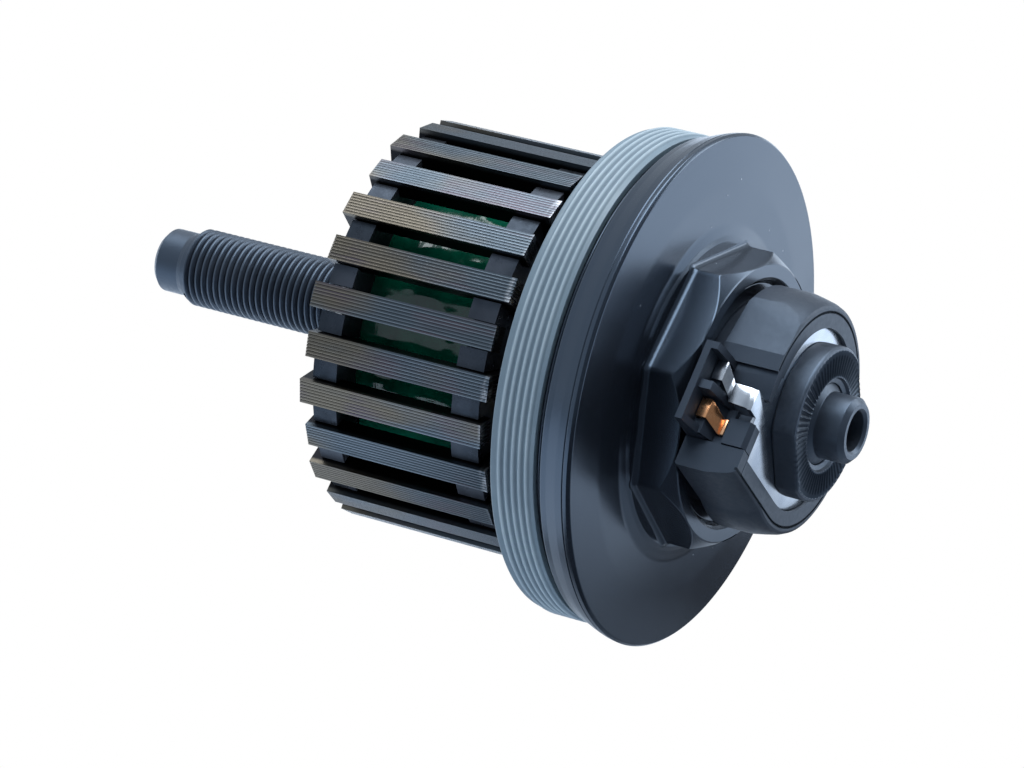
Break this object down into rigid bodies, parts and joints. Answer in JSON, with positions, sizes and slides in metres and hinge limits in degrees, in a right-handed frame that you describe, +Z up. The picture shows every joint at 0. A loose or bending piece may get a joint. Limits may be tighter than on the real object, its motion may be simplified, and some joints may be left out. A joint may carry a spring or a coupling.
{
  "type": "hub dynamo",
  "caption": "Bicycle hub dynamo generator unit: claw-pole stator with taped coil on a hollow axle, and a turning black side cap with ring thread, eight-sided boss and slotted terminal tower.",
  "frame": {"origin": "middle of the axle, on its axis", "axes": "+Y along the axle towards the stub without the connector, +Z up, the connector at -Y with its terminal tower pointing up and to -X"},
  "size_m": [0.0702, 0.108, 0.0702],
  "materials": {
    "black_steel": "black phosphated steel, satin",
    "iron": "bare soft iron",
    "lamination": "dark oxide on stacked electrical sheet, bright edges",
    "black_plastic": "moulded black plastic",
    "copper_wire": "enamelled copper wire",
    "green_tape": "glossy green polyester tape",
    "plated_steel": "zinc plated",
    "lead_sleeve": "insulating sleeve",
    "bearing_steel": "ground hardened steel",
    "plated_sheet": "plated sheet with fine scratches",
    "copper_sheet": "bare copper alloy",
    "black_paint": "gloss black paint with specks of dust",
    "grey_ring": "light grey-blue, satin",
    "seal_rubber": "glossy black rubber",
    "brass_cage": "pressed sheet"
  },
  "bodies": {
    "axle_and_stator": {"axle": "black_steel", "core_sleeve": "iron", "left_claw_stacks": "lamination", "right_claw_stacks": "lamination", "bobbin": "black_plastic", "coil_winding": "copper_wire", "coil_tape": "green_tape", "left_clamp_washer": "plated_steel", "right_clamp_washer": "plated_steel", "stator_nuts": "plated_steel", "inner_spacer": "plated_steel", "coil_lead": "lead_sleeve", "bearing_cone": "bearing_steel", "outer_spacer": "plated_steel", "connector_housing": "black_plastic", "connector_cover": "black_plastic", "ground_plate": "plated_sheet", "live_contact": "copper_sheet", "locknut": "black_steel"},
    "cap": {"side_cap": "black_paint", "threaded_ring": "grey_ring", "cap_o_ring": "seal_rubber", "bearing_cup": "bearing_steel", "lip_seal": "seal_rubber"},
    "ball_cage": {"ball_retainer": "brass_cage", "bearing_balls": "bearing_steel"}
  },
  "joints": [
    {"name": "cap_spin", "type": "hinge", "parent": "axle_and_stator", "child": "cap", "pos_m": [0, -0.029, 0], "axis": [0, 1, 0], "continuous": true},
    {"name": "cage_spin", "type": "hinge", "parent": "axle_and_stator", "child": "ball_cage", "pos_m": [0, -0.029, 0], "axis": [0, 1, 0], "continuous": true}
  ],
  "couplings": [
    {"joint": "cage_spin", "follows": "cap_spin", "ratio": 0.575}
  ]
}
